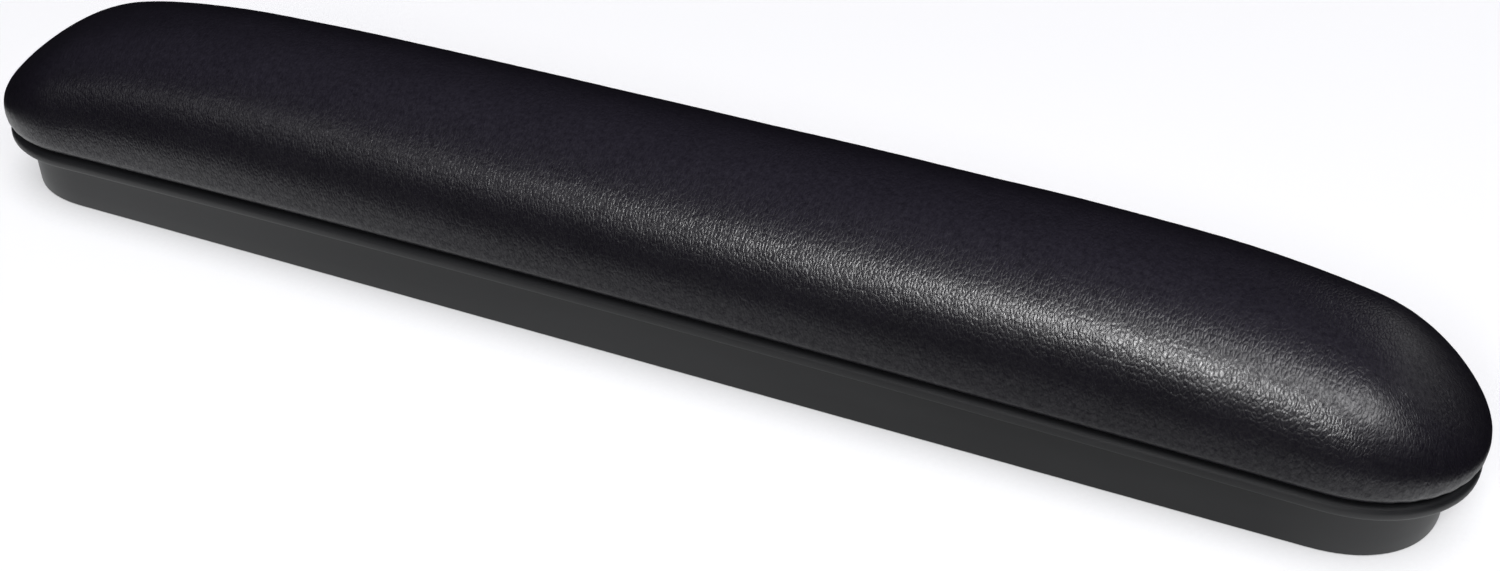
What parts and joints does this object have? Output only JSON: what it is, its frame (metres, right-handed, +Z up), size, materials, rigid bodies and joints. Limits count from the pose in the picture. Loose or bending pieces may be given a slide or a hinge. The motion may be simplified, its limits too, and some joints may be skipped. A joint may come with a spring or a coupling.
{
  "type": "chair armrest pad",
  "caption": "Long padded arm rest with round ends: a crowned vinyl-covered foam top on a board, over a flanged hollow moulded base with bolt bosses underneath.",
  "frame": {"origin": "middle of the pad's length and width, on the plane that the base's rim and bosses stand on", "axes": "+X along the pad's length, +Y across it, +Z up out of the padded top"},
  "size_m": [0.3556, 0.0508, 0.0486],
  "materials": {
    "vinyl": "grained satin black vinyl",
    "foam": "open-cell polyurethane foam",
    "plywood": "raw birch plywood",
    "moulded_plastic": "satin black moulded plastic",
    "zinc_steel": "zinc plated",
    "staple_wire": "flattened galvanised wire"
  },
  "bodies": {
    "root": {"vinyl_cover": "vinyl", "foam_pad": "foam", "support_board": "plywood", "base_shell": "moulded_plastic", "t_nut_1": "zinc_steel", "t_nut_2": "zinc_steel", "t_nut_3": "zinc_steel", "base_screw_1": "zinc_steel", "base_screw_2": "zinc_steel", "base_screw_3": "zinc_steel", "base_screw_4": "zinc_steel", "base_screw_5": "zinc_steel", "base_screw_6": "zinc_steel", "cover_staple_01": "staple_wire", "cover_staple_02": "staple_wire", "cover_staple_03": "staple_wire", "cover_staple_04": "staple_wire", "cover_staple_05": "staple_wire", "cover_staple_06": "staple_wire", "cover_staple_07": "staple_wire", "cover_staple_08": "staple_wire", "cover_staple_09": "staple_wire", "cover_staple_10": "staple_wire", "cover_staple_11": "staple_wire", "cover_staple_12": "staple_wire", "cover_staple_13": "staple_wire", "cover_staple_14": "staple_wire", "cover_staple_15": "staple_wire", "cover_staple_16": "staple_wire", "cover_staple_17": "staple_wire", "cover_staple_18": "staple_wire", "cover_staple_19": "staple_wire", "cover_staple_20": "staple_wire", "cover_staple_21": "staple_wire", "cover_staple_22": "staple_wire", "cover_staple_23": "staple_wire", "cover_staple_24": "staple_wire", "cover_staple_25": "staple_wire", "cover_staple_26": "staple_wire", "cover_staple_27": "staple_wire", "cover_staple_28": "staple_wire", "cover_staple_29": "staple_wire", "cover_staple_30": "staple_wire", "cover_staple_31": "staple_wire", "cover_staple_32": "staple_wire", "cover_staple_33": "staple_wire", "cover_staple_34": "staple_wire", "cover_staple_35": "staple_wire", "cover_staple_36": "staple_wire"}
  },
  "joints": []
}
